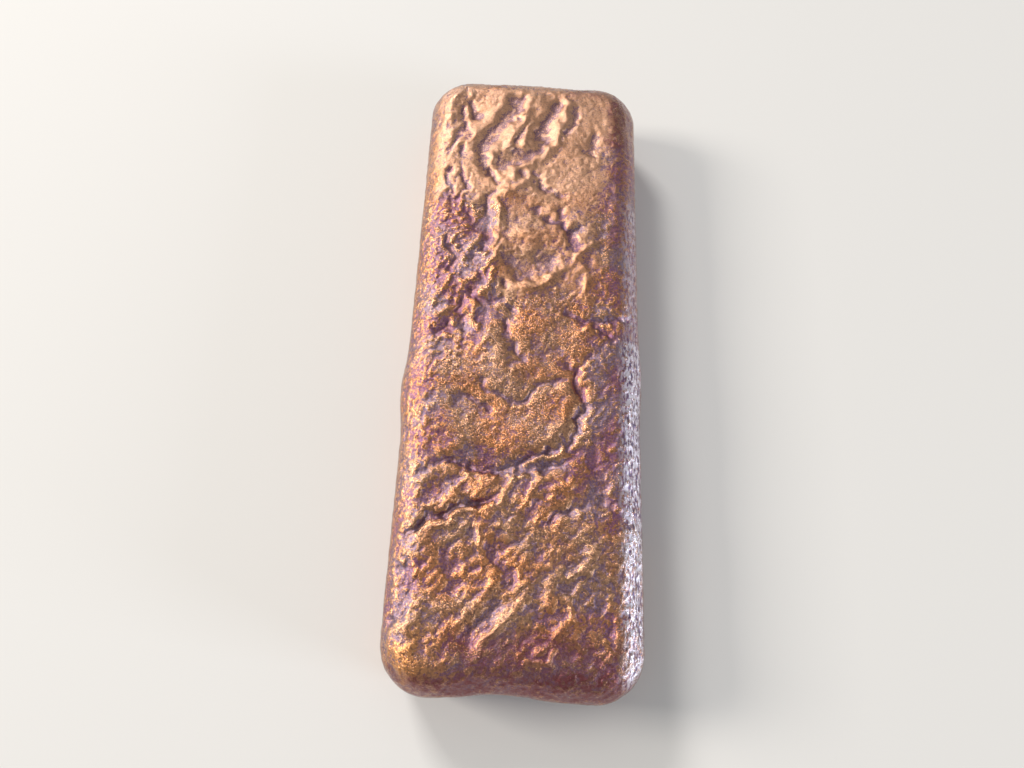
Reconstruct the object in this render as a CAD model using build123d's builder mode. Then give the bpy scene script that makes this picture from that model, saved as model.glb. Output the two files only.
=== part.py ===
from build123d import *
import math
import os

# Copper bar, poured by hand into an open mould and lying as it was poured.
# +Y runs along the bar to its far end, +X to its right side, +Z up.
# The origin is at the middle of the flat underside.

# Overall size, over the swells of the two sides
length = 96.0
width = 34.8

# The mould: its walls lean out from the floor, so that the bar drops free
draft = 7.0
floor_corner = 5.6
floor_edge = 0.9

# The rim, where the metal froze against the mould wall: each long side swells
# at one place, and the near end is a little hollow
rim_height = 7.6
rim_band = 0.4
rim_corner = 6.6
left_swell = 0.6
left_swell_place = -7.6
right_swell = 0.35
right_swell_place = -3.8
swell_reach = 8.0
near_hollow = 0.75
near_hollow_place = -1.2
hollow_clearance = 0.4  # straight run from the left corner to the hollow

# The free surface: a round shoulder about a level top, with valleys where one
# wave of metal stopped against another
shoulder = 4.2

# Each valley: depth, half width, then its course as points in shares of the
# half width across the bar and of the half length along it
valleys = [
    (0.45, 1.8, [(-0.66, 0.80), (-0.64, 0.68), (-0.72, 0.58)]),
    (0.60, 2.1, [(-0.44, 0.69), (-0.30, 0.78), (-0.14, 0.87)]),
    (0.45, 1.9, [(0.06, 0.74), (0.22, 0.86)]),
    (0.45, 2.0, [(-0.26, 0.61), (-0.06, 0.67)]),
    (0.45, 1.8, [(-0.62, 0.47), (-0.56, 0.36)]),
    (0.50, 2.0, [(-0.34, 0.51), (-0.34, 0.38), (-0.46, 0.24)]),
    (0.45, 2.0, [(0.06, 0.45), (0.28, 0.40), (0.42, 0.33)]),
    (0.45, 2.3, [(-0.08, 0.25), (0.12, 0.24)]),
    (0.45, 1.9, [(-0.44, 0.13), (-0.14, 0.11)]),
    (0.40, 2.0, [(0.42, 0.08), (0.66, 0.08)]),
    (0.50, 1.8, [(-0.72, 0.01), (-0.50, 0.03)]),
    (0.35, 1.8, [(-0.14, 0.01), (-0.04, -0.05)]),
    (0.40, 1.9, [(-0.33, -0.15), (-0.12, -0.20), (0.10, -0.17), (0.24, -0.14)]),
    (0.60, 2.0, [(0.44, -0.08), (0.48, -0.19), (0.44, -0.31)]),
    (0.80, 2.1, [(-0.60, -0.38), (-0.18, -0.40), (0.36, -0.34)]),
    (0.70, 1.9, [(-0.74, -0.58), (-0.62, -0.55), (-0.24, -0.49)]),
    (0.45, 1.9, [(0.12, -0.58), (0.40, -0.50)]),
    (0.40, 1.9, [(-0.50, -0.66), (-0.46, -0.73)]),
    (0.40, 1.9, [(-0.12, -0.64), (-0.07, -0.71), (-0.14, -0.78), (-0.26, -0.83)]),
    (0.40, 1.9, [(0.16, -0.79), (0.30, -0.76)]),
]

# The skin that cuts a valley: how far it stands over the top all round, how far
# it reaches past the course in half widths, and how closely it is laid out
skin_rise = 0.12
skin_margin = 2.0
skin_step = 1.0
skin_tolerance = 0.02

half_length = length / 2
half_width = width / 2
wall_run = rim_height * math.tan(math.radians(draft))
hollow_reach = near_hollow_place + half_width - left_swell - rim_corner - hollow_clearance
top_height = rim_height + rim_band + shoulder


def bowed_side(start, foot, other_foot, end, bow):
    """A straight side that stands out by bow midway between its feet, in three arcs."""
    along = Vector(other_foot) - Vector(foot)
    rise = along.rotate(Axis.Z, -90).normalized() * (bow / 2)
    first = Vector(foot) + along / 4 + rise
    last = Vector(other_foot) - along / 4 + rise
    Line(start, foot)
    if bow:
        flank = TangentArc(foot, first, tangent=along)
        crown = TangentArc(first, last, tangent=flank % 1)
        TangentArc(last, other_foot, tangent=crown % 1)
    else:
        Polyline(foot, first, last, other_foot)
    Line(other_foot, end)


def outline(run, corner, share):
    """Closed outline standing run inside the rim, with a share of the rim's unevenness."""
    right = half_width - right_swell - run
    left = left_swell + run - half_width
    far = half_length - run
    near = -far
    with BuildLine() as line:
        bowed_side(
            (right, near + corner),
            (right, right_swell_place - swell_reach),
            (right, right_swell_place + swell_reach),
            (right, far - corner),
            share * right_swell,
        )
        TangentArc((right, far - corner), (right - corner, far), tangent=(0, 1))
        Line((right - corner, far), (left + corner, far))
        TangentArc((left + corner, far), (left, far - corner), tangent=(-1, 0))
        bowed_side(
            (left, far - corner),
            (left, left_swell_place + swell_reach),
            (left, left_swell_place - swell_reach),
            (left, near + corner),
            share * left_swell,
        )
        TangentArc((left, near + corner), (left + corner, near), tangent=(0, -1))
        bowed_side(
            (left + corner, near),
            (near_hollow_place - hollow_reach, near),
            (near_hollow_place + hollow_reach, near),
            (right - corner, near),
            -share * near_hollow,
        )
        TangentArc((right - corner, near), (right, near + corner), tangent=(1, 0))
    return line


def distance_to_run(x, y, start, end):
    """Plan distance from a point to one straight run of a valley."""
    start_x = start[0] * half_width
    start_y = start[1] * half_length
    run_x = end[0] * half_width - start_x
    run_y = end[1] * half_length - start_y
    along = ((x - start_x) * run_x + (y - start_y) * run_y) / (run_x**2 + run_y**2)
    along = min(max(along, 0), 1)
    return math.hypot(x - start_x - along * run_x, y - start_y - along * run_y)


def skin_height(x, y, depth, half, course):
    """Height of a valley's skin over a point of the plan: under the top in the valley only."""
    distance = min(distance_to_run(x, y, *run) for run in zip(course, course[1:]))
    dip = math.exp(-((distance / half) ** 2))
    return top_height + skin_rise - (depth + skin_rise) * dip


def spread(values, margin):
    """Even places from a margin below the lowest value to a margin above the highest."""
    start = min(values) - margin
    reach = max(values) + margin - start
    steps = math.ceil(reach / skin_step)
    return [start + reach * n / steps for n in range(steps + 1)]


def valley_skin(depth, half, course):
    """A smooth skin that dips into one valley and stands clear of the top all round it."""
    xs = spread([point[0] * half_width for point in course], skin_margin * half)
    ys = spread([point[1] * half_length for point in course], skin_margin * half)
    rows = [[(x, y, skin_height(x, y, depth, half, course)) for x in xs] for y in ys]
    return Face.make_surface_from_array_of_points(rows, tol=skin_tolerance, min_deg=3, max_deg=3)


# The bar: shaped by the mould below its rim and by the pour above it
with BuildPart() as ingot:
    with BuildSketch(Plane.XY):
        add(outline(wall_run, floor_corner, 0))
        make_face()
    with BuildSketch(Plane.XY.offset(rim_height)):
        add(outline(0, rim_corner, 1))
        make_face()
    loft(ruled=True)
    extrude(ingot.faces().sort_by(Axis.Z)[-1], amount=rim_band + shoulder)
    fillet(ingot.faces().sort_by(Axis.Z)[-1].edges(), radius=shoulder)
    chamfer(ingot.faces().sort_by(Axis.Z)[0].edges(), length=floor_edge)
    for valley in valleys:
        extrude(valley_skin(*valley), amount=top_height, dir=(0, 0, 1), mode=Mode.SUBTRACT)

ingot.part.label = "ingot"
os.makedirs("parts", exist_ok=True)
export_step(ingot.part, "parts/ingot.step")
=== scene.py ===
import math

import bpy
import numpy as np
from mathutils import Matrix, Vector, geometry, noise


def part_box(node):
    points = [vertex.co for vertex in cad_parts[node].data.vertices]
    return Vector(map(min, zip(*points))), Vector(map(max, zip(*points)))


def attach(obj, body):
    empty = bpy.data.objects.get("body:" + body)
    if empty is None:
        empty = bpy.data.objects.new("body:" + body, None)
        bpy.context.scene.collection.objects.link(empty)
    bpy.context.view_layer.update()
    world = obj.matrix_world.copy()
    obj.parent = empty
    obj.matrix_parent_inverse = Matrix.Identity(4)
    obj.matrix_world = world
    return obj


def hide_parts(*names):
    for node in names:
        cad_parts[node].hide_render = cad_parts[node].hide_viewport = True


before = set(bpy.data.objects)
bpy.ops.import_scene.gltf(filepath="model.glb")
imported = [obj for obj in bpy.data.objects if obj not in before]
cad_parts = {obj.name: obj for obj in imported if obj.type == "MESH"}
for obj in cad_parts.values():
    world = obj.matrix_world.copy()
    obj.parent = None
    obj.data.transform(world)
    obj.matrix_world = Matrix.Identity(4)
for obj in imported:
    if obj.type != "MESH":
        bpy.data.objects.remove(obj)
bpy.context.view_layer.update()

# Sizes of the bar are in millimetres until its mesh is made.
MM = 0.001
bar_low, bar_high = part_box("ingot")
HALF_WIDTH = bar_high.x / MM
HALF_LENGTH = bar_high.y / MM
TOP = bar_high.z / MM
TINY = 1e-6  # keeps a division clear of nothing, and joins points that fall together

# The bar's plain form, as in its solid
DRAFT = 7.0
SHOULDER = 4.2
RIM_BAND = 0.4
RIM_HEIGHT = TOP - SHOULDER - RIM_BAND
RIM_CORNER = 6.6
FLOOR_CORNER = 5.6
FLOOR_EDGE = 0.9
FLOOR_EDGE_UPWARD = -0.7  # how far up the small edge round the floor faces
WALL_RUN = RIM_HEIGHT * math.tan(math.radians(DRAFT))

# The uneven rim: a bell-shaped swell on each side and a hollow in the near end
LEFT_SWELL = 0.6
LEFT_SWELL_PLACE = -7.6
RIGHT_SWELL = 0.35
RIGHT_SWELL_PLACE = -3.8
SWELL_REACH = 4.4  # from its middle to where it has fallen to about a third
NEAR_HOLLOW = 0.75
NEAR_HOLLOW_PLACE = -1.2
NEAR_HOLLOW_REACH = 5.2

# The rim without its unevenness
RIM_HALF_WIDTH = HALF_WIDTH - (LEFT_SWELL + RIGHT_SWELL) / 2
RIM_SHIFT = (LEFT_SWELL - RIGHT_SWELL) / 2  # its middle, right of the bar's
FLAT_RUN = RIM_HALF_WIDTH - SHOULDER

# Mesh density
CELL = 0.24
WALL_CELL = 0.45
FLOOR_CELL = 2.0

# Rings of cells over the shoulder and the flat top, and half the grid's cells across and along
SHOULDER_RINGS = round(SHOULDER * math.pi / 2 / CELL)
FLAT_RINGS = round(FLAT_RUN / CELL)
HALF_I = SHOULDER_RINGS + FLAT_RINGS
HALF_J = HALF_I + round((HALF_LENGTH - RIM_HALF_WIDTH) / CELL)

# Where the underside has inner points: inside a margin of the bar's box and near a plain core
FLOOR_MARGIN = 3.5
CORE_HALF_WIDTH = 11.0
CORE_HALF_LENGTH = 41.0
CORE_REACH = 4.0

# The free surface keeps under the top, so that its folds stay inside the solid's box
SINK = 0.45  # how far it lies under the top on average
CEILING = 0.08  # how softly its crests are held down

# How the folds fall off to their sides, as a power: a hollow is broad, a crease is sharp
HOLLOW_POWER = 3.0
CREASE_POWER = 1.3
RIDGE_POWER = 1.6
HOLLOW_GAIN = 1.2  # hollows are cut this much deeper than they are given

# Noise: size of the bumps, seed, octaves and how fast the octaves fall
FOLD_SWAY = [(2.0, 1, 3), (2.0, 2, 3)]
LOBES = (6.5, 3)
WRINKLES = (2.0, 4, 3, 0.6)
CRINKLES = (1.0, 5, 2, 0.6)
WALL_WAVES = (3.2, 6, 3)
WALL_SAND = (1.0, 7)
PINCHES = (1.8, 8, 2)
SAND = (0.65, 9, 2, 0.6)
STAIN_AND_LIGHT_SWAY = [(4.0, 11, 3), (4.0, 12, 3)]
SEED_STEP = 7.31  # how far apart the noises of two seeds lie
OCTAVE_RATIO = 2.0  # how much finer each octave is than the one before

# How far the noise moves the folds, the stains and the painted light in plan
FOLD_SWAY_REACH = 0.7
STAIN_AND_LIGHT_SWAY_REACH = 2.0
PAINTED_REFLECTION_SWAY_REACH = 0.4

# Heights of the noise; a triple is everywhere, added where crumpled and added where wrinkled
LOBE_HEIGHT = 0.22
WRINKLE_HEIGHTS = (0.05, 0.12, 0.15)
CRINKLE_HEIGHTS = (0.03, 0.30, 0.10)
SAND_HEIGHT = 0.07
WALL_WAVE_HEIGHT = 0.14
WALL_SAND_HEIGHT = 0.05
WRINKLE_ANGLE = 45  # degrees in plan
WRINKLE_RATIO = 1.5  # length to width
CRINKLE_LEVEL = 0.35  # how deep their narrow grooves go, as a share of their height
WALL_WAVE_SCALE = (1, 1, 1.6)  # makes them lower than they are long

# Creases and ridges come and go along their course: their mean strength and its swing
PINCH_MEAN = 0.9
PINCH_SWING = 0.8

# How far up the surface faces where a part of it starts and where it is full
FREE_SPAN = (0.0, 0.6)
PAINTED_REFLECTION_SPAN = (0.0, 0.35)
WALL_SPAN = (-0.45, -0.1)  # how far down it faces

# Pits: rounds of averaging for the height near a point and widely about it
PIT_REACH = 8
HOLLOW_REACH = 45
HOLLOW_SHARE = 0.45  # how much the wide one counts
FULL_PIT = 0.13  # depth that is full of oxide

# Folds of the pour: depth or height, half width and course in plan
HOLLOWS = [
    # far third
    (0.50, 1.5, [(-7.4, 33.4), (-6.4, 35.6), (-5.0, 37.8), (-3.7, 39.8), (-2.4, 42.2)]),
    (0.40, 1.0, [(1.0, 35.8), (1.7, 38.2), (3.0, 39.8), (4.2, 42.2)]),
    (0.35, 1.0, [(-8.0, 32.6), (-7.8, 30.4), (-6.6, 28.4)]),
    (0.40, 1.5, [(-4.8, 29.6), (-2.8, 31.0), (-0.6, 32.2)]),
    (0.20, 1.0, [(9.2, 33.0), (10.4, 35.6)]),
    # upper middle
    (0.30, 1.0, [(6.6, 18.0), (7.2, 15.4)]),
    (0.40, 1.9, [(-1.6, 12.6), (-0.2, 11.0), (2.2, 12.4)]),
    (0.25, 1.7, [(-6.2, 3.6), (-3.0, 3.0)]),
    (0.25, 1.6, [(-7.0, 21.4), (-7.4, 17.8)]),
    (0.15, 1.0, [(-12.6, 1.0), (-10.8, 2.0), (-8.6, 1.2)]),
    # lower middle
    (0.20, 1.8, [(2.2, -1.6), (4.8, -2.6)]),
    (0.25, 1.6, [(-8.8, -9.6), (-5.8, -11.0)]),
    (0.35, 1.6, [(-6.6, -18.2), (-2.0, -18.6), (3.6, -18.2)]),
    (0.25, 1.0, [(9.8, -17.0), (10.8, -20.0), (11.4, -23.0)]),
    # near third
    (0.30, 1.4, [(-11.2, -22.6), (-8.0, -21.4)]),
    (0.30, 1.2, [(-8.6, -30.8), (-7.8, -34.4)]),
    (0.30, 1.2, [(-2.8, -30.0), (-0.8, -33.8)]),
    (0.30, 1.2, [(-2.8, -37.6), (-5.0, -40.4)]),
    (0.30, 1.1, [(2.8, -38.0), (4.6, -38.4)]),
    (0.35, 1.2, [(-14.0, -33.0), (-13.8, -36.0), (-14.6, -38.6)]),
]
CREASES = [
    # far third
    (0.50, 0.8, [(-10.0, 41.8), (-9.4, 40.6), (-8.8, 38.8)]),
    (0.35, 0.5, [(-2.5, 34.0), (-2.2, 35.6), (-1.5, 37.2)]),
    (0.45, 0.7, [(1.2, 32.6), (2.2, 35.0), (3.0, 37.6)]),
    (0.30, 0.6, [(5.2, 36.4), (6.8, 37.8), (7.2, 40.8)]),
    (0.40, 0.6, [(-6.6, 28.6), (-5.4, 26.6)]),
    (0.40, 0.5, [(-1.7, 29.4), (-0.6, 28.0)]),
    (0.50, 0.7, [(0.8, 28.2), (1.4, 26.6), (2.8, 25.4), (4.4, 24.8)]),
    (0.40, 0.5, [(-11.2, 40.4), (-10.9, 36.4), (-12.3, 33.4), (-13.2, 32.2)]),
    (0.40, 0.5, [(-11.0, 32.4), (-10.7, 28.6), (-9.6, 25.6)]),
    (0.35, 0.5, [(-13.0, 28.6), (-12.6, 25.4), (-11.6, 23.0)]),
    # upper middle
    (0.40, 0.7, [(0.4, 22.1), (1.8, 20.8), (3.4, 19.6), (5.2, 19.4)]),
    (0.40, 0.5, [(5.0, 21.4), (5.6, 19.2), (6.6, 18.0), (8.0, 19.0)]),
    (0.50, 0.7, [(-6.0, 24.8), (-6.5, 20.8), (-5.5, 18.6), (-6.1, 16.2), (-7.6, 13.0)]),
    (0.35, 0.5, [(-9.8, 21.6), (-9.0, 19.8)]),
    (0.35, 0.5, [(-12.4, 15.6), (-11.0, 13.0), (-11.6, 10.6)]),
    (0.40, 0.5, [(-8.4, 8.2), (-6.8, 6.6)]),
    (0.60, 0.4, [(-3.0, 9.2), (-2.7, 8.6)]),
    (0.50, 0.5, [(-9.6, 6.8), (-6.8, 6.0), (-3.6, 6.1), (-2.0, 4.8)]),
    (0.40, 0.5, [(-9.3, 6.4), (-9.4, 4.0), (-8.4, 1.2)]),
    (0.40, 0.4, [(-3.0, 2.6), (-2.3, 0.8)]),
    (0.45, 0.5, [(6.4, 4.1), (8.2, 3.2), (9.6, 3.8), (11.0, 3.2), (12.6, 3.8), (15.2, 4.0)]),
    (0.40, 0.5, [(10.2, 2.8), (11.2, 1.2), (12.8, 0.4)]),
    (0.35, 0.5, [(-13.0, 0.6), (-10.8, 1.8), (-8.2, 0.8)]),
    # lower middle
    (0.35, 0.5, [(-3.2, 1.2), (-1.9, -0.8), (-0.4, -2.9)]),
    (0.35, 0.4, [(-5.8, -6.6), (-4.6, -8.2), (-2.0, -9.4), (0.6, -9.6), (2.0, -7.6), (6.2, -5.8)]),
    (0.30, 0.4, [(-8.3, -9.0), (-6.2, -9.6), (-4.5, -11.2)]),
    (0.65, 0.6, [(6.4, -3.7), (7.6, -4.3), (8.1, -7.4), (8.5, -10.0), (7.5, -13.0), (6.8, -15.6)]),
    (0.35, 0.4, [(7.9, -4.3), (9.8, -2.4)]),
    (0.30, 0.4, [(8.2, -6.0), (9.6, -5.6)]),
    (0.75, 0.7, [(-11.4, -18.9), (-8.4, -18.3), (-6.0, -19.3), (-2.2, -19.5), (0.2, -18.4)]),
    (0.65, 0.6, [(0.2, -18.3), (1.8, -17.2), (3.6, -16.4), (5.6, -15.4), (7.6, -16.6)]),
    (0.50, 0.6, [(0.4, -19.1), (3.0, -18.8), (5.6, -18.6), (7.6, -17.2)]),
    (0.30, 0.4, [(-13.4, -20.4), (-11.6, -18.8)]),
    # near third
    (
        0.80,
        0.6,
        [(-14.8, -28.9), (-12.8, -28.0), (-11.7, -26.4), (-9.4, -25.6), (-7.4, -24.2), (-4.0, -23.7)],
    ),
    (0.50, 0.5, [(3.2, -26.3), (4.8, -25.2), (6.8, -24.4)]),
    (0.15, 0.9, [(1.4, -23.6), (1.7, -27.4), (2.4, -31.0)]),
    (0.60, 0.4, [(-5.5, -32.3), (-5.2, -32.7)]),
    (0.35, 0.5, [(10.2, -34.6), (11.6, -37.6), (12.0, -39.8)]),
]
RIDGES = [
    # far third
    (0.35, 0.9, [(-13.6, 38.4), (-13.2, 41.4), (-11.8, 43.0), (-10.2, 43.3)]),
    (0.40, 0.9, [(-3.4, 33.2), (-2.9, 36.0), (-1.6, 38.2), (-0.9, 41.0), (0.6, 43.2)]),
    (0.30, 0.5, [(-1.1, 33.6), (-0.8, 37.6)]),
    (0.40, 0.7, [(3.4, 33.2), (4.4, 36.8), (5.2, 39.4), (5.6, 42.4)]),
    (0.30, 0.7, [(-6.2, 33.2), (-6.0, 30.6)]),
    (0.40, 0.7, [(-2.8, 27.2), (-1.6, 29.6), (0.6, 31.2), (4.0, 34.0)]),
    (0.40, 0.8, [(-3.2, 24.4), (-1.6, 26.0), (0.2, 27.6)]),
    # upper middle
    (0.35, 0.6, [(-4.8, 23.0), (-4.7, 20.4), (-4.0, 18.0), (-5.0, 15.4)]),
    (0.25, 1.4, [(-1.0, 17.4), (1.6, 16.8)]),
    (0.40, 0.8, [(7.0, 13.6), (8.4, 14.6), (9.6, 16.0)]),
    (0.35, 0.5, [(-9.6, 12.4), (-8.4, 14.4), (-7.2, 16.6)]),
    (0.35, 0.5, [(-6.2, 10.8), (-4.8, 12.8), (-3.9, 15.6)]),
    (0.40, 0.5, [(-6.4, 6.8), (-5.5, 8.4), (-4.6, 10.6)]),
    (0.35, 0.5, [(-13.6, 5.8), (-12.2, 7.6), (-11.4, 9.4)]),
    (0.35, 0.5, [(-10.0, 5.8), (-9.3, 7.8), (-7.8, 9.4)]),
    (0.30, 0.5, [(-12.4, 3.2), (-10.4, 4.4)]),
    (0.35, 0.9, [(-0.8, 8.2), (1.6, 8.4), (3.6, 9.6), (5.2, 12.2)]),
    (0.35, 0.5, [(-7.8, 5.4), (-7.5, 3.0), (-6.8, 1.2)]),
    (0.30, 0.5, [(8.4, 12.2), (8.9, 9.6), (8.6, 7.2)]),
    (0.35, 0.9, [(8.2, 0.6), (9.4, 2.0)]),
    # lower middle
    (0.35, 1.5, [(-4.8, -0.6), (-3.2, -3.0), (-1.4, -5.2)]),
    (0.25, 1.0, [(6.2, -6.6), (6.6, -9.4), (6.0, -12.6), (4.4, -15.2)]),
    (0.20, 0.4, [(0.8, -18.2), (2.6, -17.6), (4.8, -17.2), (6.0, -15.8)]),
    (0.30, 0.45, [(-9.2, -24.0), (-7.8, -22.0), (-6.4, -20.6)]),
    (0.30, 0.45, [(-5.6, -23.4), (-4.6, -21.8), (-3.2, -20.4)]),
    (0.30, 0.45, [(-2.4, -24.0), (-1.2, -22.0), (-0.4, -20.2)]),
    (0.30, 0.45, [(0.4, -24.4), (1.4, -22.2), (3.0, -20.6)]),
    (0.30, 0.45, [(4.2, -23.6), (5.4, -21.8), (7.0, -20.4)]),
    # near third
    (0.40, 0.7, [(-12.4, -28.6), (-10.2, -27.2), (-8.0, -26.2), (-6.6, -25.0), (-3.6, -24.8)]),
    (0.32, 0.6, [(-4.5, -26.6), (-4.5, -29.6), (-4.9, -31.6)]),
    (0.32, 0.7, [(-7.3, -39.2), (-6.0, -37.6), (-4.2, -36.2), (-2.8, -34.4), (-2.4, -32.8)]),
    (0.32, 0.7, [(-3.4, -40.6), (-1.4, -39.0), (0.8, -37.4), (1.8, -35.2)]),
    (0.30, 0.7, [(3.0, -42.0), (4.6, -41.2), (6.0, -40.2)]),
    (0.28, 0.6, [(6.0, -40.4), (7.0, -38.2), (7.4, -36.0)]),
    (0.34, 0.7, [(4.4, -36.2), (4.7, -33.0), (7.2, -32.6), (9.6, -31.8)]),
    (0.28, 0.7, [(8.4, -31.6), (10.4, -29.6)]),
    (0.35, 0.6, [(1.8, -43.6), (4.2, -43.4), (5.0, -41.8)]),
    (0.25, 2.4, [(-13.2, -41.4), (-12.4, -44.6)]),
]

# Parts of the surface, as boxes in plan: share, left, right, near and far border
CRUMPLED = [
    (1.0, -20.0, -8.5, -4.0, 25.0),
    (0.4, -20.0, -8.5, 25.0, 40.0),
    (0.6, -20.0, -12.0, -40.0, -4.0),
    (0.7, -9.0, -5.0, 4.0, 18.0),
    (0.5, 9.5, 20.0, -44.0, 6.0),
]
WRINKLED = [
    (1.0, -12.0, 9.0, -42.0, -20.0),
    (0.2, -6.0, 8.0, 24.0, 48.0),
    (0.5, 4.0, 12.0, 5.0, 20.0),
    (0.6, -10.0, 20.0, -50.0, -42.0),
]
VIOLET_ZONES = [
    (0.5, -14.0, -8.5, 20.0, 40.0),
    (0.8, -15.5, -5.5, -1.0, 20.0),
    (1.0, 8.6, 20.0, -26.0, 6.0),
    (0.6, 11.0, 20.0, 6.0, 36.0),
    (0.5, 4.0, 9.0, 14.0, 22.0),
    (0.7, -14.0, -10.0, -14.0, -9.0),
    (0.4, -16.5, -11.5, -30.0, 2.0),
    (0.6, -12.0, 9.0, -21.0, -16.0),
    (0.6, -17.0, -12.5, -41.0, -26.0),
    (0.6, 9.0, 14.0, -40.0, -34.0),
    (0.6, -8.0, 14.0, -50.0, -42.0),
]
# Dark red at the near end and the far right end: partly the copper's own dark red, partly painted shade
# at the ends
MAROON_AND_SHADE_ZONES = [
    (1.0, -20.0, 20.0, -50.0, -44.8),
    (0.6, -8.0, 14.0, -46.0, -40.5),
    (0.7, 12.5, 20.0, 34.0, 50.0),
    (0.5, 6.0, 20.0, 44.0, 50.0),
]
# Where a painted reflection of the cool window light lies on the right shoulder
PAINTED_REFLECTION_ZONES = [
    (1.0, 14.2, 20.0, -46.0, 1.0),
    (0.5, 14.7, 20.0, 1.0, 24.0),
]
# Brighter orange on the left shoulder and the near-left corner: partly cleaner copper, partly a painted
# highlight of the warm light from the left
AMBER_HIGHLIGHT_ZONES = [
    (1.0, -17.0, -10.5, -45.5, -40.5),
    (0.5, -20.0, -14.8, 4.0, 34.0),
    (0.3, -20.0, -15.4, -38.0, -4.0),
]
# Lighter copper over the far third and the upper middle: partly cleaner metal, partly painted light
# where the light from the far left falls brightest
PALE_ZONES = [
    (0.8, -16.0, 13.0, 24.0, 46.0),
    (0.4, -4.0, 9.0, 8.0, 24.0),
]

# Zones, stains and painted light
ZONE_BORDER = 1.4  # half the width of its soft border
CLEAN_AND_LIT_SHARE = 0.5  # how much less violet the amber and pale copper carries: partly cleaner metal, partly painted light
WALL_MAROON = 0.6  # maroon share of the walls

# Colours of the metal, its stains, and its painted light and shade
COPPER = (0.62, 0.255, 0.095, 1)
TAN = (0.56, 0.30, 0.165, 1)
# Partly painted light over the far third
PALE = (0.70, 0.385, 0.235, 1)
# Partly a painted highlight of the warm light from the left
AMBER_HIGHLIGHT = (0.72, 0.32, 0.11, 1)
VIOLET = (0.22, 0.08, 0.18, 1)
SLATE = (0.21, 0.14, 0.23, 1)
DUSK = (0.25, 0.13, 0.17, 1)
UMBER = (0.14, 0.055, 0.06, 1)
# Partly painted shade at the ends
MAROON = (0.21, 0.045, 0.05, 1)
# A painted reflection of the cool window light, on the right shoulder
PAINTED_REFLECTION = (0.86, 0.80, 0.90, 1)
# Dark flecks between the streaks of the painted reflection
INDIGO = (0.12, 0.09, 0.20, 1)

# Sizes of the finish's noises
SPOT_SIZE = 0.7
GRAIN_SIZE = 0.22
SPECK_SIZE = 0.32
DRIFT_SIZE = 6.0
STREAK_SIZE = 0.36
STREAK_SCALE = (1, 0.35, 1)  # draws them out along the bar

# Oxide: how it gathers, and how far spots and grain shift it either way
VIOLET_OXIDE = 0.7  # how much a violet place counts
OXIDE_LIMIT = 0.62  # the most before the grain shifts it
SPOT_SHIFT = 0.25
GRAIN_SHIFT = 0.5
FULL_OXIDE = 0.7  # where it hides the copper

# Where an effect of the finish starts and is full, by its noise or, for dusk, by the violet share
NOISE_SPAN = (0.3, 0.7)
TAN_SPAN = (0.35, 0.65)
SLATE_SPAN = (0.4, 0.6)
DUSK_SPAN = (-0.4, 0.3)
SPECK_SPAN = (0.52, 0.40)
RED_SPAN = (0.35, 0.6)
PATCH_SPAN = (0.34, 0.48)
STREAK_SPAN = (0.42, 0.56)
FLECK_SPAN = (0.46, 0.38)

# Shares at the start and at the full end of a span
SPECK_SHARES = (0.7, 0.3)  # on plain and on pale copper
RED_SHARES = (0.4, 1.0)
PATCH_SHARES = (0.25, 1.0)
METALLIC_SHARES = (1.0, 0.85)
ROUGHNESS_SHARES = (0.27, 0.39)

# Shine and fine relief of the finish
PALE_ROUGHNESS = 0.10
COAT_WEIGHT = 0.8
COAT_ROUGHNESS = 0.10
BUMP_HEIGHT = 0.09
GRAIN_BUMP = 0.7

# The studio, in metres: its floor, and its softboxes by name, place, size, power and colour
STAGE_HALF = 1.5
FLOOR_COLOUR = (0.78, 0.77, 0.75, 1)
FLOOR_ROUGHNESS = 0.7
LAMPS = [
    ("key", (-1.15, 0.15, 0.60), 0.40, 12.5, (1.0, 0.94, 0.86)),
    ("back", (-0.80, 1.25, 1.05), 0.45, 18.5, (1.0, 0.97, 0.94)),
    ("window", (1.25, -0.40, 0.25), 0.40, 8.0, (0.78, 0.87, 1.0)),
]
WORLD_COLOUR = (1, 1, 1, 1)
WORLD_LIGHT = 0.36  # strength of the world as light
WORLD_SEEN = 0.85  # and as seen behind the floor

# The photograph's camera, its place in millimetres
FOCAL_PIXELS = 740
FRAME_PIXELS = 1024
SENSOR_WIDTH = 36
CAMERA_PLACE = (-2.29, -44.06, 108.03)
CAMERA_RIGHT = (0.99881, 0.04200, 0.02469)
CAMERA_UP = (-0.04805, 0.93264, 0.35760)
CLIP_START = 0.01  # metres


def smoothstep(value, start, end):
    """0 up to start, 1 from end, smooth between."""
    share = np.clip((value - start) / (end - start), 0, 1)
    return share * share * (3 - 2 * share)


def side_run(share, half, corner):
    """One side of a rounded rectangle: offset along it, drop inward and turn, for a share of its run."""
    straight = half - corner
    run = share * (straight + corner * math.pi / 4)
    turn = np.maximum(np.abs(run) - straight, 0) / np.maximum(corner, TINY)
    turn = np.minimum(turn, math.pi / 4)
    rounded = np.sign(run) * (straight + corner * np.sin(turn))
    along = np.where(turn > 0, rounded, run)
    return along, corner * (1 - np.cos(turn)), np.sign(run) * turn


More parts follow.
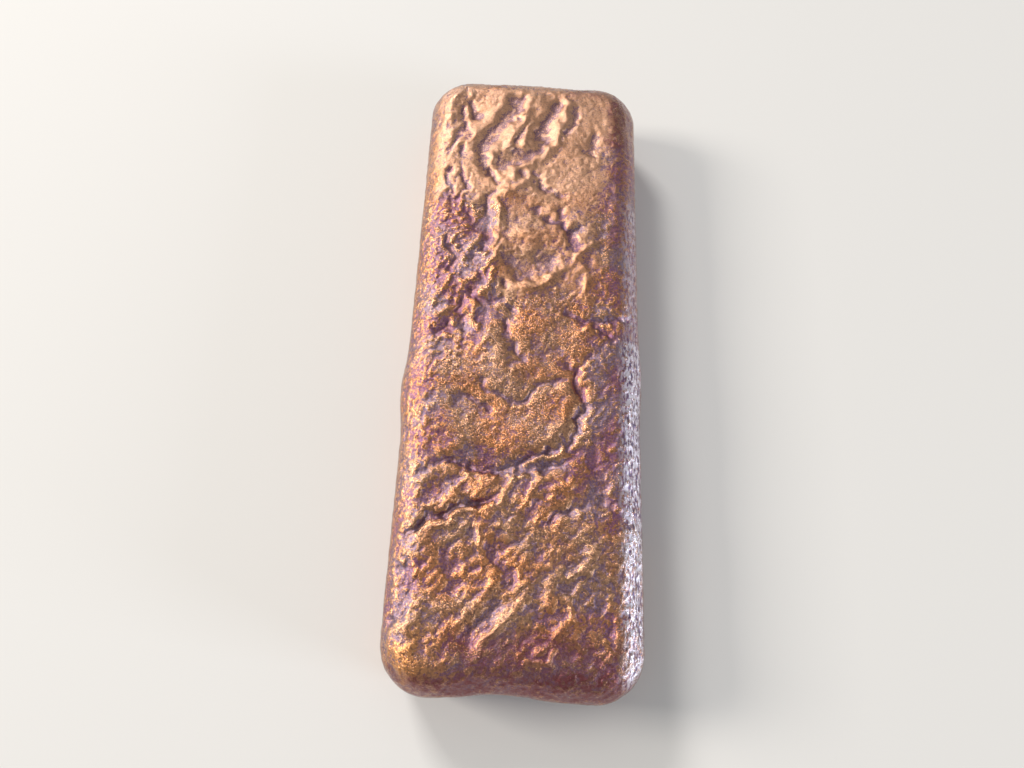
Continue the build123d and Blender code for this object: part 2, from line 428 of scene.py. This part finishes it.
def on_rounded_rectangle(i, j, half_i, half_j, half_x, half_y, corner):
    """Plan point and outward direction of a grid node that stands on its own rounded rectangle."""
    crosswise = np.abs(j) == half_j
    along_x, drop_x, turn_x = side_run(i / np.maximum(half_i, 1), half_x, corner)
    along_y, drop_y, turn_y = side_run(j / np.maximum(half_j, 1), half_y, corner)
    x = np.where(crosswise, along_x, np.sign(i) * (half_x - drop_y))
    y = np.where(crosswise, np.sign(j) * (half_y - drop_x), along_y)
    out_x = np.where(crosswise, np.sin(turn_x), np.sign(i) * np.cos(turn_y))
    out_y = np.where(crosswise, np.sign(j) * np.cos(turn_x), np.sin(turn_y))
    return np.stack([x, y], axis=-1), np.stack([out_x, out_y], axis=-1)


def bell(value, middle, reach):
    """1 at the middle, falling to about a third at the reach."""
    return np.exp(-(((value - middle) / reach) ** 2))


def rim_bow(plan, outward):
    """How far the rim stands outside its plain outline."""
    x, y = plan[..., 0], plan[..., 1]
    out_x, out_y = outward[..., 0], outward[..., 1]
    left = LEFT_SWELL * bell(y, LEFT_SWELL_PLACE, SWELL_REACH) * np.clip(-out_x, 0, 1)
    right = RIGHT_SWELL * bell(y, RIGHT_SWELL_PLACE, SWELL_REACH) * np.clip(out_x, 0, 1)
    near = -NEAR_HOLLOW * bell(x, NEAR_HOLLOW_PLACE, NEAR_HOLLOW_REACH) * np.clip(-out_y, 0, 1) ** 2
    return left + right + near


def on_form(i, j, rings, inset, z, corner, upward, bow):
    """Points and directions of nodes on the plain form: each stands some rings of the grid, and an
    inset, inside the rim."""
    plan, outward = on_rounded_rectangle(
        i, j, HALF_I - rings, HALF_J - rings, RIM_HALF_WIDTH - inset, HALF_LENGTH - inset, corner
    )
    plan = plan + outward * (bow * rim_bow(plan, outward))[..., None]
    side = np.sqrt(1 - upward**2)[..., None]
    points = np.concatenate([plan, z[..., None]], axis=-1) + [RIM_SHIFT, 0, 0]
    return points, np.concatenate([outward * side, upward[..., None]], axis=-1)


def upper_grid():
    """The shoulder and the top as one grid whose rings follow the rim: numbers of its nodes across
    and along, and their points and directions."""
    j, i = np.meshgrid(np.arange(-HALF_J, HALF_J + 1), np.arange(-HALF_I, HALF_I + 1))
    rings = np.minimum(HALF_I - np.abs(i), HALF_J - np.abs(j))
    angle = np.minimum(rings / SHOULDER_RINGS, 1) * math.pi / 2
    level = np.clip((rings - SHOULDER_RINGS) / FLAT_RINGS, 0, 1)
    inset = SHOULDER * (1 - np.cos(angle)) + FLAT_RUN * level
    z = TOP - SHOULDER + SHOULDER * np.sin(angle)
    corner = np.maximum(RIM_CORNER - inset, 0)
    points, normals = on_form(i, j, rings, inset, z, corner, np.sin(angle), 1 - level)
    return i, j, points, normals


def wall_station(z):
    """One level of the wall: its inset, height, corner radius, upward share of the surface's
    direction and share of the rim's bow."""
    lean = max(1 - z / RIM_HEIGHT, 0)
    corner = RIM_CORNER + (FLOOR_CORNER - RIM_CORNER) * lean
    return WALL_RUN * lean, z, corner, 0.0, 1 - lean


def wall_stations():
    """The wall's levels from under the shoulder to the foot of its small floor edge."""
    start = RIM_HEIGHT + RIM_BAND
    steps = round((start - FLOOR_EDGE) / WALL_CELL)
    stations = [wall_station(start + (FLOOR_EDGE - start) * n / steps) for n in range(1, steps + 1)]
    foot = (WALL_RUN + FLOOR_EDGE, 0.0, FLOOR_CORNER - FLOOR_EDGE, FLOOR_EDGE_UPWARD, 0.0)
    middle = [(a + b) / 2 for a, b in zip(stations[-1], foot)]
    return [*stations, middle, foot]


def plain_form():
    """The bar's plain form without its underside: points, directions, faces, the shape of its upper
    grid and the ring at its foot."""
    i, j, grid_points, grid_normals = upper_grid()
    index = np.arange(i.size).reshape(i.shape)
    cells = [index[:-1, :-1], index[1:, :-1], index[1:, 1:], index[:-1, 1:]]
    quads = [np.stack(cells, -1).reshape(-1, 4)]
    points, normals = [grid_points.reshape(-1, 3)], [grid_normals.reshape(-1, 3)]

    # Down the wall: the grid's border ring, again and again
    upper = np.concatenate([index[:-1, 0], index[-1, :-1], index[:0:-1, -1], index[0, :0:-1]])
    ring_i, ring_j = i.ravel()[upper], j.ravel()[upper]
    for n, station in enumerate(wall_stations()):
        levels = (np.full(len(upper), value) for value in station)
        ring_points, ring_normals = on_form(ring_i, ring_j, 0, *levels)
        points.append(ring_points)
        normals.append(ring_normals)
        lower = index.size + n * len(upper) + np.arange(len(upper))
        quads.append(np.stack([upper, lower, np.roll(lower, -1), np.roll(upper, -1)], -1))
        upper = lower
    return np.concatenate(points), np.concatenate(normals), np.concatenate(quads), index.shape, upper


def inside_foot(x, y):
    """Whether a plan point stands well inside the foot's ring, at its round corners too."""
    if abs(x) >= HALF_WIDTH - FLOOR_MARGIN or abs(y) >= HALF_LENGTH - FLOOR_MARGIN:
        return False
    return math.hypot(max(abs(x) - CORE_HALF_WIDTH, 0), max(abs(y) - CORE_HALF_LENGTH, 0)) < CORE_REACH


def underside(points, foot):
    """The flat underside: its points inside the foot's ring, and its triangles, which face down."""
    xs = np.arange(-HALF_WIDTH, HALF_WIDTH, FLOOR_CELL)
    ys = np.arange(-HALF_LENGTH, HALF_LENGTH, FLOOR_CELL)
    inner = [Vector((x, y)) for x in xs for y in ys if inside_foot(x, y)]
    ring = [Vector(plan) for plan in points[foot][:, :2]]
    edges = [(n, (n + 1) % len(ring)) for n in range(len(ring))]
    verts, _, faces, sources = geometry.delaunay_2d_cdt(ring + inner, edges, [], 1, TINY)[:4]
    index, extra = [], []
    for vert, source in zip(verts, sources):
        on_ring = [n for n in source if n < len(ring)]
        if on_ring:
            index.append(int(foot[on_ring[0]]))
        else:
            index.append(len(points) + len(extra))
            extra.append((vert.x, vert.y, 0.0))
    triangles = [[index[n] for n in reversed(face)] for face in faces]
    return np.array(extra), triangles


def bumps(points, size, seed, octaves=1, fall=1.0):
    """Random heights of about -1 to 1 with bumps about size apart, rougher where fall is low."""
    places = points / size + seed * SEED_STEP
    return np.array([noise.fractal(p, fall, OCTAVE_RATIO, octaves) for p in places.tolist()])


def sway(points, noises):
    """Random moves in plan, by one noise for each direction."""
    return np.stack([bumps(points, *values) for values in noises], axis=1)


def drawn_out(points, angle, ratio):
    """The points with one direction in plan shortened, so that bumps on them are drawn out along it."""
    turn = math.radians(angle)
    cos, sin = math.cos(turn), math.sin(turn)
    along = (points[:, 0] * cos + points[:, 1] * sin) / ratio
    across = points[:, 1] * cos - points[:, 0] * sin
    return np.stack([along, across, points[:, 2]], axis=1)


def distance_to_course(plan, course):
    """Distance in plan from each point to a course of straight runs."""
    nearest = np.full(len(plan), np.inf)
    for start, end in zip(course, course[1:]):
        run = np.subtract(end, start)
        share = np.clip((plan - start) @ run / (run @ run), 0, 1)
        nearest = np.minimum(nearest, np.linalg.norm(plan - start - share[:, None] * run, axis=1))
    return nearest


def strokes(plan, folds, power):
    """Height of folds drawn along their courses; where two meet, the higher one counts."""
    highest = np.zeros(len(plan))
    for depth, half_width, course in folds:
        fold = depth * np.exp(-((distance_to_course(plan, course) / half_width) ** power))
        highest = np.maximum(highest, fold)
    return highest


def between(value, low, high):
    """1 from low to high, with soft borders."""
    above = smoothstep(value, low - ZONE_BORDER, low + ZONE_BORDER)
    return above * smoothstep(-value, -high - ZONE_BORDER, -high + ZONE_BORDER)


def zones(plan, boxes):
    """Highest share of the boxes that a point lies in."""
    x, y = plan.T
    best = np.zeros(len(plan))
    for share, left, right, near, far in boxes:
        best = np.maximum(best, share * between(x, left, right) * between(y, near, far))
    return best


def zone_height(heights, crumpled, wrinkled):
    """Height of a noise at each point, with what its crumpled and wrinkled zones add."""
    everywhere, where_crumpled, where_wrinkled = heights
    return everywhere + where_crumpled * crumpled + where_wrinkled * wrinkled


def free_relief(points):
    """Height of the pour's free surface over the plain form: folds and noise under a soft ceiling."""
    plan = points[:, :2] + FOLD_SWAY_REACH * sway(points, FOLD_SWAY)
    hollows = strokes(plan, HOLLOWS, HOLLOW_POWER)
    creases = strokes(plan, CREASES, CREASE_POWER)
    ridges = strokes(plan, RIDGES, RIDGE_POWER)
    pinch = PINCH_MEAN + PINCH_SWING * bumps(points, *PINCHES)

    crumpled = zones(plan, CRUMPLED)
    wrinkled = zones(plan, WRINKLED)
    wrinkles = bumps(drawn_out(points, WRINKLE_ANGLE, WRINKLE_RATIO), *WRINKLES)
    crinkles = CRINKLE_LEVEL - np.abs(bumps(points, *CRINKLES))
    height = LOBE_HEIGHT * bumps(points, *LOBES)
    height -= zone_height(WRINKLE_HEIGHTS, crumpled, wrinkled) * wrinkles
    height -= zone_height(CRINKLE_HEIGHTS, crumpled, wrinkled) * crinkles
    height += SAND_HEIGHT * bumps(points, *SAND)
    height += pinch * (ridges - creases) - HOLLOW_GAIN * hollows - SINK
    return -CEILING * np.log1p(np.exp(np.clip(-height / CEILING, -50, 50)))


def wall_relief(points):
    """Height of the wall's cast skin, a little inside the plain form."""
    waves = np.abs(bumps(points * WALL_WAVE_SCALE, *WALL_WAVES))
    return -WALL_WAVE_HEIGHT * waves - WALL_SAND_HEIGHT * np.abs(bumps(points, *WALL_SAND))


def relief(points, normals):
    """Height of the real surface over the plain form, the pour's above and the mould's below."""
    free = smoothstep(normals[:, 2], *FREE_SPAN)
    return free * free_relief(points) + (1 - free) * wall_relief(points)


def pits(height, shape):
    """How far each point of the upper grid lies under the mean height near it and widely about it."""
    count = shape[0] * shape[1]
    grid = height[:count].reshape(shape)
    mean = grid
    depth = np.zeros(shape)
    for done in range(1, HOLLOW_REACH + 1):
        wide = np.pad(mean, 1, mode="edge")
        mean = (wide[:-2, 1:-1] + wide[2:, 1:-1] + wide[1:-1, :-2] + wide[1:-1, 2:] + mean) / 5
        if done == PIT_REACH:
            depth += mean - grid
    depth += HOLLOW_SHARE * (mean - grid)
    return np.append(depth.ravel(), np.zeros(len(height) - count))


def stains_and_painted_light(points, normals):
    """Shares of the stains and of the painted light and shade by name. Violet is less than nothing on
    amber and pale copper.
    """
    moves = sway(points, STAIN_AND_LIGHT_SWAY)
    plan = points[:, :2] + STAIN_AND_LIGHT_SWAY_REACH * moves
    painted_reflection = zones(points[:, :2] + PAINTED_REFLECTION_SWAY_REACH * moves, PAINTED_REFLECTION_ZONES)
    wall = smoothstep(-normals[:, 2], *WALL_SPAN)
    amber_highlight = zones(plan, AMBER_HIGHLIGHT_ZONES)
    pale = zones(plan, PALE_ZONES)
    return {
        "violet": zones(plan, VIOLET_ZONES) - CLEAN_AND_LIT_SHARE * np.maximum(amber_highlight, pale),
        "amber_highlight": amber_highlight,
        "pale": pale,
        "maroon_and_shade": np.maximum(zones(plan, MAROON_AND_SHADE_ZONES), WALL_MAROON * wall),
        # a painted reflection of the window light, on the right shoulder where it faces up
        "painted_reflection": painted_reflection * smoothstep(normals[:, 2], *PAINTED_REFLECTION_SPAN),
    }


def make_bar():
    """The bar's surface as one closed mesh, with the masks that its finish reads."""
    points, normals, quads, grid_shape, foot = plain_form()
    height = relief(points, normals)
    masks = {"pits": pits(height, grid_shape), **stains_and_painted_light(points, normals)}
    points = points + normals * height[:, None]
    points[foot, 2] = 0
    points = np.clip(points, np.array(bar_low) / MM, np.array(bar_high) / MM)
    floor_points, triangles = underside(points, foot)

    mesh = bpy.data.meshes.new("ingot_skin")
    places = np.concatenate([points, floor_points]) * MM
    mesh.from_pydata(places.tolist(), [], quads.tolist() + triangles)
    mesh.validate()
    mesh.shade_smooth()
    for name, values in masks.items():
        layer = mesh.attributes.new(name, "FLOAT", "POINT")
        values = np.append(values, np.zeros(len(floor_points)))
        layer.data.foreach_set("value", values.astype(np.float32))
    bar = bpy.data.objects.new("ingot_skin", mesh)
    bpy.context.collection.objects.link(bar)
    return bar


class Nodes:
    """A short way to write a material's nodes."""

    def __init__(self, name):
        self.material = bpy.data.materials.new(name)
        self.material.use_nodes = True
        self.tree = self.material.node_tree
        self.shader = self.tree.nodes["Principled BSDF"]

    def add(self, kind, inputs=None, **settings):
        node = self.tree.nodes.new(kind)
        for key, value in settings.items():
            setattr(node, key, value)
        for key, value in (inputs or {}).items():
            self.feed(node.inputs[key], value)
        return node

    def feed(self, socket, value):
        if isinstance(value, bpy.types.NodeSocket):
            self.tree.links.new(value, socket)
        else:
            socket.default_value = value

    def mask(self, name):
        return self.add("ShaderNodeAttribute", attribute_name=name).outputs["Fac"]

    def math(self, operation, *values):
        return self.add("ShaderNodeMath", dict(enumerate(values)), operation=operation).outputs[0]

    def span(self, value, low, high, to_low=0.0, to_high=1.0):
        node = self.add(
            "ShaderNodeMapRange",
            {"Value": value, "From Min": low, "From Max": high, "To Min": to_low, "To Max": to_high},
            interpolation_type="SMOOTHSTEP",
        )
        return node.outputs[0]

    def mix(self, share, first, second):
        # A mix node's colour sockets come after those of its other kinds
        node = self.add("ShaderNodeMix", {"Factor": share, 6: first, 7: second}, data_type="RGBA")
        return node.outputs[2]

    def noise(self, place, size, detail=2.0, roughness=0.5):
        node = self.add(
            "ShaderNodeTexNoise",
            {"Vector": place, "Scale": 1 / (size * MM), "Detail": detail, "Roughness": roughness},
        )
        return node.outputs["Fac"]


def oxide_cover(nodes, masks, spots, grain):
    """Share of oxide: most in the pits and the violet places, broken up by spots and grain."""
    deep = nodes.math("DIVIDE", masks["pits"], FULL_PIT)
    reach = nodes.math("MULTIPLY_ADD", masks["violet"], VIOLET_OXIDE, deep)
    reach = nodes.math("ADD", reach, nodes.span(spots, *NOISE_SPAN, -SPOT_SHIFT, SPOT_SHIFT))
    reach = nodes.math("MINIMUM", reach, OXIDE_LIMIT)
    reach = nodes.math("ADD", reach, nodes.span(grain, *NOISE_SPAN, -GRAIN_SHIFT, GRAIN_SHIFT))
    return nodes.span(reach, 0.0, FULL_OXIDE)


def oxidised_copper(nodes, masks, oxide, drift):
    """Clean copper with the oxide over it, each drifting between two colours."""
    clean = nodes.mix(nodes.span(drift, *TAN_SPAN), COPPER, TAN)
    # lighter over the far third: partly cleaner copper, partly painted light
    clean = nodes.mix(masks["pale"], clean, PALE)
    # brighter orange on the left shoulder: partly cleaner copper, partly a painted highlight of the warm
    # light from the left
    clean = nodes.mix(masks["amber_highlight"], clean, AMBER_HIGHLIGHT)
    stain = nodes.mix(nodes.span(drift, *SLATE_SPAN), VIOLET, SLATE)
    stain = nodes.mix(nodes.span(masks["violet"], *DUSK_SPAN), DUSK, stain)
    return nodes.mix(oxide, clean, stain)


def specked(nodes, masks, colour, spots, coarse):
    """The colour under dark specks, fewer where it is pale, and the maroon over them: partly the
    copper's own dark red, partly painted shade at the ends.
    """
    fewer = nodes.span(masks["pale"], 0.0, 1.0, *SPECK_SHARES)
    specks = nodes.math("MULTIPLY", nodes.span(coarse, *SPECK_SPAN), fewer)
    colour = nodes.mix(specks, colour, UMBER)
    # dark red at the ends and on the walls, partly painted shade
    redness = nodes.math("MULTIPLY", masks["maroon_and_shade"], nodes.span(spots, *RED_SPAN, *RED_SHARES))
    return nodes.mix(redness, colour, MAROON)


def with_painted_reflection(nodes, masks, colour, spots, place):
    """The colour under a painted reflection of the cool window light on the right shoulder: pale streaks
    along the bar, with dark flecks between.
    """
    drawn = nodes.add("ShaderNodeMapping", {"Vector": place, "Scale": STREAK_SCALE}).outputs[0]
    streaks = nodes.noise(drawn, STREAK_SIZE, detail=3.0, roughness=0.65)
    patches = nodes.math("MULTIPLY", masks["painted_reflection"], nodes.span(spots, *PATCH_SPAN, *PATCH_SHARES))
    paleness = nodes.math("MULTIPLY", patches, nodes.span(streaks, *STREAK_SPAN))
    flecks = nodes.math("MULTIPLY", masks["painted_reflection"], nodes.span(streaks, *FLECK_SPAN))
    return nodes.mix(flecks, nodes.mix(paleness, colour, PAINTED_REFLECTION), INDIGO)


def copper_finish():
    """As-cast copper: orange on the folds, violet and grey heat oxide in the pits, sandy all over."""
    nodes = Nodes("cast_copper")
    place = nodes.add("ShaderNodeTexCoord").outputs["Object"]
    masks = {name: nodes.mask(name) for name in ("pits", "violet", "amber_highlight", "pale", "maroon_and_shade", "painted_reflection")}
    spots = nodes.noise(place, SPOT_SIZE, detail=3.0, roughness=0.6)
    grain = nodes.noise(place, GRAIN_SIZE, detail=2.0, roughness=0.7)
    coarse = nodes.noise(place, SPECK_SIZE, detail=3.0, roughness=0.75)
    drift = nodes.noise(place, DRIFT_SIZE)

    oxide = oxide_cover(nodes, masks, spots, grain)
    colour = oxidised_copper(nodes, masks, oxide, drift)
    colour = specked(nodes, masks, colour, spots, coarse)
    # Painted reflection of the cool window light on the right shoulder
    colour = with_painted_reflection(nodes, masks, colour, spots, place)
    dullness = nodes.span(oxide, 0, 1, *ROUGHNESS_SHARES)
    rough = nodes.math("MULTIPLY_ADD", grain, GRAIN_BUMP, coarse)
    bump = nodes.add("ShaderNodeBump", {"Strength": 1.0, "Distance": BUMP_HEIGHT * MM, "Height": rough})
    surface = {
        "Base Color": colour,
        "Metallic": nodes.span(oxide, 0, 1, *METALLIC_SHARES),
        "Roughness": nodes.math("MULTIPLY_ADD", masks["pale"], PALE_ROUGHNESS, dullness),
        "Normal": bump.outputs["Normal"],
        "Coat Normal": bump.outputs["Normal"],
        "Coat Weight": COAT_WEIGHT,
        "Coat Roughness": COAT_ROUGHNESS,
    }
    for name, value in surface.items():
        nodes.feed(nodes.shader.inputs[name], value)
    return nodes.material


def floor_finish():
    """A plain pale matt material."""
    material = bpy.data.materials.new("pale_floor")
    material.use_nodes = True
    shader = material.node_tree.nodes["Principled BSDF"]
    shader.inputs["Base Color"].default_value = FLOOR_COLOUR
    shader.inputs["Roughness"].default_value = FLOOR_ROUGHNESS
    return material


def make_floor():
    """A plain pale floor under the bar."""
    half = STAGE_HALF
    corners = [(-half, -half, 0), (half, -half, 0), (half, half, 0), (-half, half, 0)]
    mesh = bpy.data.meshes.new("floor")
    mesh.from_pydata(corners, [], [(0, 1, 2, 3)])
    floor = bpy.data.objects.new("floor", mesh)
    floor.data.materials.append(floor_finish())
    bpy.context.collection.objects.link(floor)


def soft_lamp(name, place, size, power, colour):
    """A square softbox that faces the bar."""
    lamp = bpy.data.lights.new(name, "AREA")
    lamp.size = size
    lamp.energy = power
    lamp.color = colour
    holder = bpy.data.objects.new(name, lamp)
    holder.location = place
    holder.rotation_euler = (-Vector(place)).to_track_quat("-Z", "Y").to_euler()
    bpy.context.collection.objects.link(holder)


def light_studio():
    """Soft light: warm lamps on the left and behind, a cool one low on the right, and a pale world."""
    for lamp in LAMPS:
        soft_lamp(*lamp)
    world = bpy.data.worlds.new("studio")
    world.use_nodes = True
    tree = world.node_tree
    level = tree.nodes.new("ShaderNodeMapRange")
    level.inputs["To Min"].default_value = WORLD_LIGHT
    level.inputs["To Max"].default_value = WORLD_SEEN
    tree.links.new(tree.nodes.new("ShaderNodeLightPath").outputs["Is Camera Ray"], level.inputs["Value"])
    background = tree.nodes["Background"]
    background.inputs["Color"].default_value = WORLD_COLOUR
    tree.links.new(level.outputs["Result"], background.inputs["Strength"])
    bpy.context.scene.world = world
    bpy.context.scene.view_settings.view_transform = "Standard"


def set_camera():
    """The camera of the photograph: a wide lens close over the near half of the bar."""
    data = bpy.data.cameras.new("photo_camera")
    data.sensor_width = SENSOR_WIDTH
    data.lens = FOCAL_PIXELS / FRAME_PIXELS * SENSOR_WIDTH
    data.clip_start = CLIP_START
    camera = bpy.data.objects.new("photo_camera", data)
    right, up = Vector(CAMERA_RIGHT), Vector(CAMERA_UP)
    pose = Matrix((right, up, right.cross(up))).transposed().to_4x4()
    pose.translation = Vector(CAMERA_PLACE) * MM
    camera.matrix_world = pose
    bpy.context.collection.objects.link(camera)
    bpy.context.scene.camera = camera


set_camera()
bar = make_bar()
bar.data.materials.append(copper_finish())
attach(bar, "root")
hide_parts("ingot")
make_floor()
light_studio()
